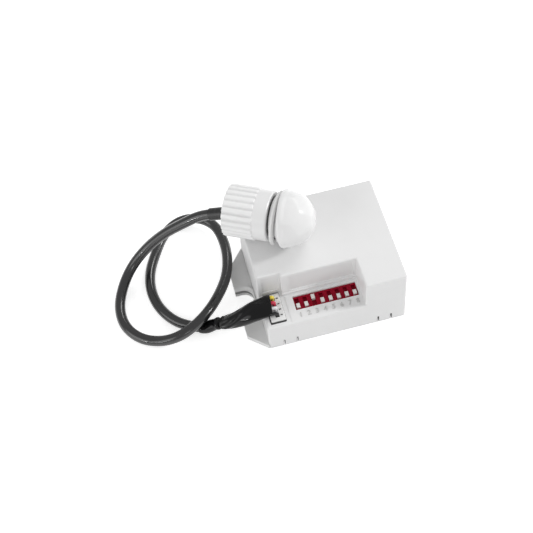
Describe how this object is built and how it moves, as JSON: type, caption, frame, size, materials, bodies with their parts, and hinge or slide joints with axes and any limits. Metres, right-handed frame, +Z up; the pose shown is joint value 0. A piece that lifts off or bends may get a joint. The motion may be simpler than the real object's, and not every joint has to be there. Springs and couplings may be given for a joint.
{
  "type": "recessed motion sensor",
  "caption": "Motion sensor with a round faceted lens head on a thin lead, plugged into a white switching box with a row of slide switches and a mounting ear.",
  "frame": {"origin": "middle of the switching box's underside, on the surface that the box stands on", "axes": "+X from the mounting ear to the box's far end, +Y from the switches to the wire terminals, +Z up out of the box's top"},
  "size_m": [0.0871, 0.0549, 0.0394],
  "materials": {
    "cover": "fine satin moulded",
    "base": "fine satin moulded",
    "board": "solder mask",
    "relay_case": "moulded case",
    "film_case": "moulded case",
    "capacitor_can": "sleeved can",
    "varistor_disc": "dipped coating",
    "chip_case": "moulded case",
    "terminal_case": "moulded case",
    "clamp_metal": "plated spring steel",
    "switch_red": "moulded case",
    "slider_white": "moulded",
    "header_case": "moulded case",
    "pin_metal": "tinned",
    "plug_case": "moulded case",
    "contact_metal": "tinned brass",
    "wire_black": "insulation",
    "wire_white": "insulation",
    "wire_red": "insulation",
    "wire_yellow": "insulation",
    "sleeve_black": "shrunk glossy sleeve",
    "lead_jacket": "satin jacket",
    "boot_rubber": "satin sleeve",
    "head_case": "moulded case",
    "nut_case": "moulded",
    "collar_case": "moulded",
    "seal_case": "soft seal",
    "lens": "milky lens",
    "head_board": "solder mask",
    "sensor_metal": "drawn can with dark window",
    "light_chip": "moulded case"
  },
  "bodies": {
    "box": {"cover_shell": "cover", "base_plate": "base", "circuit_board": "board", "relay": "relay_case", "film_capacitor": "film_case", "smoothing_capacitor": "capacitor_can", "varistor": "varistor_disc", "control_chip": "chip_case", "terminal_block": "terminal_case", "terminal_clamps": "clamp_metal", "switch_body": "switch_red", "pin_header": "header_case", "header_pins": "pin_metal"},
    "slider_1": {"switch_slider_1": "slider_white"},
    "slider_2": {"switch_slider_2": "slider_white"},
    "slider_3": {"switch_slider_3": "slider_white"},
    "slider_4": {"switch_slider_4": "slider_white"},
    "slider_5": {"switch_slider_5": "slider_white"},
    "slider_6": {"switch_slider_6": "slider_white"},
    "slider_7": {"switch_slider_7": "slider_white"},
    "slider_8": {"switch_slider_8": "slider_white"},
    "lead_and_head": {"plug_housing": "plug_case", "plug_contacts": "contact_metal", "wire_black": "wire_black", "wire_white": "wire_white", "wire_red": "wire_red", "wire_yellow": "wire_yellow", "heat_shrink_sleeve": "sleeve_black", "lead": "lead_jacket", "lead_boot": "boot_rubber", "head_body": "head_case", "seal_ring": "seal_case", "lens_dome": "lens", "head_board": "head_board", "sensor_can": "sensor_metal", "light_sensor": "light_chip"},
    "collar": {"spacer_collar": "collar_case"},
    "nut": {"clamp_nut": "nut_case"}
  },
  "joints": [
    {"name": "slider_1_slide", "type": "slide", "parent": "box", "child": "slider_1", "axis": [0, 1, 0], "range_m": [0, 0.002]},
    {"name": "slider_2_slide", "type": "slide", "parent": "box", "child": "slider_2", "axis": [0, 1, 0], "range_m": [0, 0.002]},
    {"name": "slider_3_slide", "type": "slide", "parent": "box", "child": "slider_3", "axis": [0, 1, 0], "range_m": [-0.002, 0]},
    {"name": "slider_4_slide", "type": "slide", "parent": "box", "child": "slider_4", "axis": [0, 1, 0], "range_m": [0, 0.002]},
    {"name": "slider_5_slide", "type": "slide", "parent": "box", "child": "slider_5", "axis": [0, 1, 0], "range_m": [0, 0.002]},
    {"name": "slider_6_slide", "type": "slide", "parent": "box", "child": "slider_6", "axis": [0, 1, 0], "range_m": [0, 0.002]},
    {"name": "slider_7_slide", "type": "slide", "parent": "box", "child": "slider_7", "axis": [0, 1, 0], "range_m": [0, 0.002]},
    {"name": "slider_8_slide", "type": "slide", "parent": "box", "child": "slider_8", "axis": [0, 1, 0], "range_m": [0, 0.002]},
    {"name": "plug_slide", "type": "slide", "parent": "box", "child": "lead_and_head", "axis": [0, 0, 1], "range_m": [0, 0.006]},
    {"name": "collar_slide", "type": "slide", "parent": "lead_and_head", "child": "collar", "axis": [0.8645, -0.4991, 0.0585], "range_m": [-0.0045, 0]},
    {"name": "nut_turn", "type": "hinge", "parent": "collar", "child": "nut", "pos_m": [-0.02012, 0.01195, 0.02977], "axis": [0.8645, -0.4991, 0.0585], "range_deg": [-1090, 10]}
  ],
  "couplings": [
    {"joint": "nut_turn", "follows": "collar_slide", "rad_per_m": 4188.8}
  ]
}
